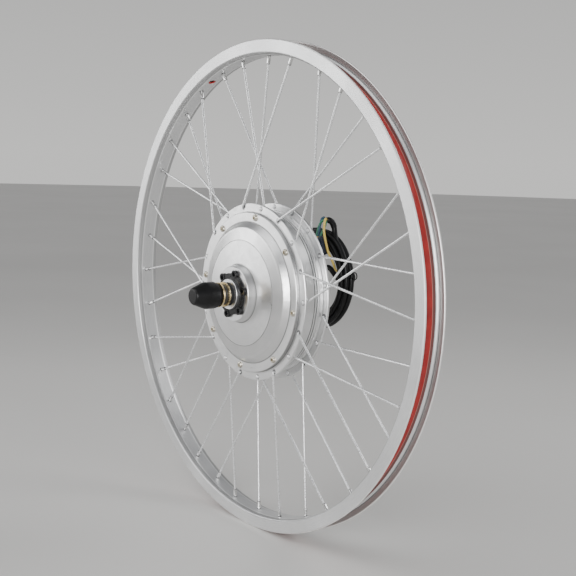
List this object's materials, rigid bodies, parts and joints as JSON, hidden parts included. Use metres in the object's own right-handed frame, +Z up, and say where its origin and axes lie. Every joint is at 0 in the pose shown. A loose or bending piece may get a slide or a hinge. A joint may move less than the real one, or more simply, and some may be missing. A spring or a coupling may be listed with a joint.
{
  "type": "hub motor wheel",
  "caption": "Spoked bicycle wheel built around a gearless electric hub motor, with a brake disc mount, a coiled motor cable and an axle for a fork.",
  "frame": {"origin": "the wheel's centre, on the axle and in the rim's middle plane", "axes": "+Z up, the wheel spins about Y, the brake disc side is -Y and the cable side is +Y"},
  "size_m": [0.5199, 0.1826, 0.52],
  "materials": {
    "axle_steel": "black oxide",
    "bearing_steel": "ground",
    "black_plastic": "matte",
    "yellow_zinc": "yellow zinc plate",
    "zinc_steel": "zinc plate",
    "cap_rubber": "moulded",
    "cast_aluminium": "cast",
    "lamination_steel": "stacked laminations",
    "copper": "enamelled wire",
    "board_green": "solder mask",
    "lead_sleeving": "sleeved",
    "cable_jacket": "satin jacket",
    "wire_yellow": "insulation",
    "wire_green": "insulation",
    "wire_blue": "insulation",
    "plug_plastic": "moulded nylon",
    "terminal_brass": "plated",
    "cage_steel": "pressed",
    "seal_rubber": "moulded",
    "silver_shell": "satin silver coat",
    "back_iron": "turned",
    "magnet_nickel": "nickel plate",
    "black_mount": "black coat",
    "rim_aluminium": "silver anodised",
    "red_tape": "nylon tape",
    "spoke_steel": "bright galvanised",
    "nipple_brass": "nickel plated"
  },
  "bodies": {
    "axle_set": {"axle": "axle_steel", "bearing_inner_rings": "bearing_steel", "axle_sleeves": "black_plastic", "inner_washers": "yellow_zinc", "fork_spacers": "black_plastic", "outer_washers": "yellow_zinc", "axle_nuts": "zinc_steel", "stator_carrier": "cast_aluminium", "stator_core": "lamination_steel", "stator_windings": "copper", "hall_board": "board_green", "phase_leads": "lead_sleeving", "cable_gland": "cap_rubber", "cable_lead": "cable_jacket", "cable_coil": "cable_jacket", "cable_tail": "cable_jacket", "wire_yellow": "wire_yellow", "wire_green": "wire_green", "wire_blue": "wire_blue", "signal_lead": "cable_jacket", "signal_plug": "plug_plastic", "bullet_terminals": "terminal_brass", "cable_tie": "black_plastic"},
    "wheel": {"bearing_outer_rings": "bearing_steel", "shaft_seals": "seal_rubber", "hub_shell": "silver_shell", "magnet_ring": "back_iron", "magnets": "magnet_nickel", "cover_disc_side": "silver_shell", "cover_cable_side": "silver_shell", "cover_screws_disc_side": "yellow_zinc", "cover_screws_cable_side": "yellow_zinc", "disc_mount": "black_mount", "rim": "rim_aluminium", "rim_tape": "red_tape", "spokes_disc_side_outer": "spoke_steel", "spokes_disc_side_inner": "spoke_steel", "spokes_cable_side_outer": "spoke_steel", "spokes_cable_side_inner": "spoke_steel", "spoke_nipples": "nipple_brass"},
    "disc_side_balls": {"bearing_balls_disc_side": "bearing_steel", "bearing_cage_disc_side": "cage_steel"},
    "cable_side_balls": {"bearing_balls_cable_side": "bearing_steel", "bearing_cage_cable_side": "cage_steel"},
    "axle_cap": {"axle_cap": "cap_rubber"}
  },
  "joints": [
    {"name": "wheel_spin", "type": "hinge", "parent": "axle_set", "child": "wheel", "pos_m": [0, 0, 0], "axis": [0, 1, 0], "continuous": true},
    {"name": "disc_side_cage_spin", "type": "hinge", "parent": "axle_set", "child": "disc_side_balls", "pos_m": [0, -0.0315, 0], "axis": [0, 1, 0], "continuous": true},
    {"name": "cable_side_cage_spin", "type": "hinge", "parent": "axle_set", "child": "cable_side_balls", "pos_m": [0, 0.0315, 0], "axis": [0, 1, 0], "continuous": true},
    {"name": "cap_pull", "type": "slide", "parent": "axle_set", "child": "axle_cap", "axis": [0, -1, 0], "range_m": [0, 0.04]}
  ],
  "couplings": [
    {"joint": "disc_side_cage_spin", "follows": "wheel_spin", "ratio": 0.619},
    {"joint": "cable_side_cage_spin", "follows": "wheel_spin", "ratio": 0.619}
  ]
}
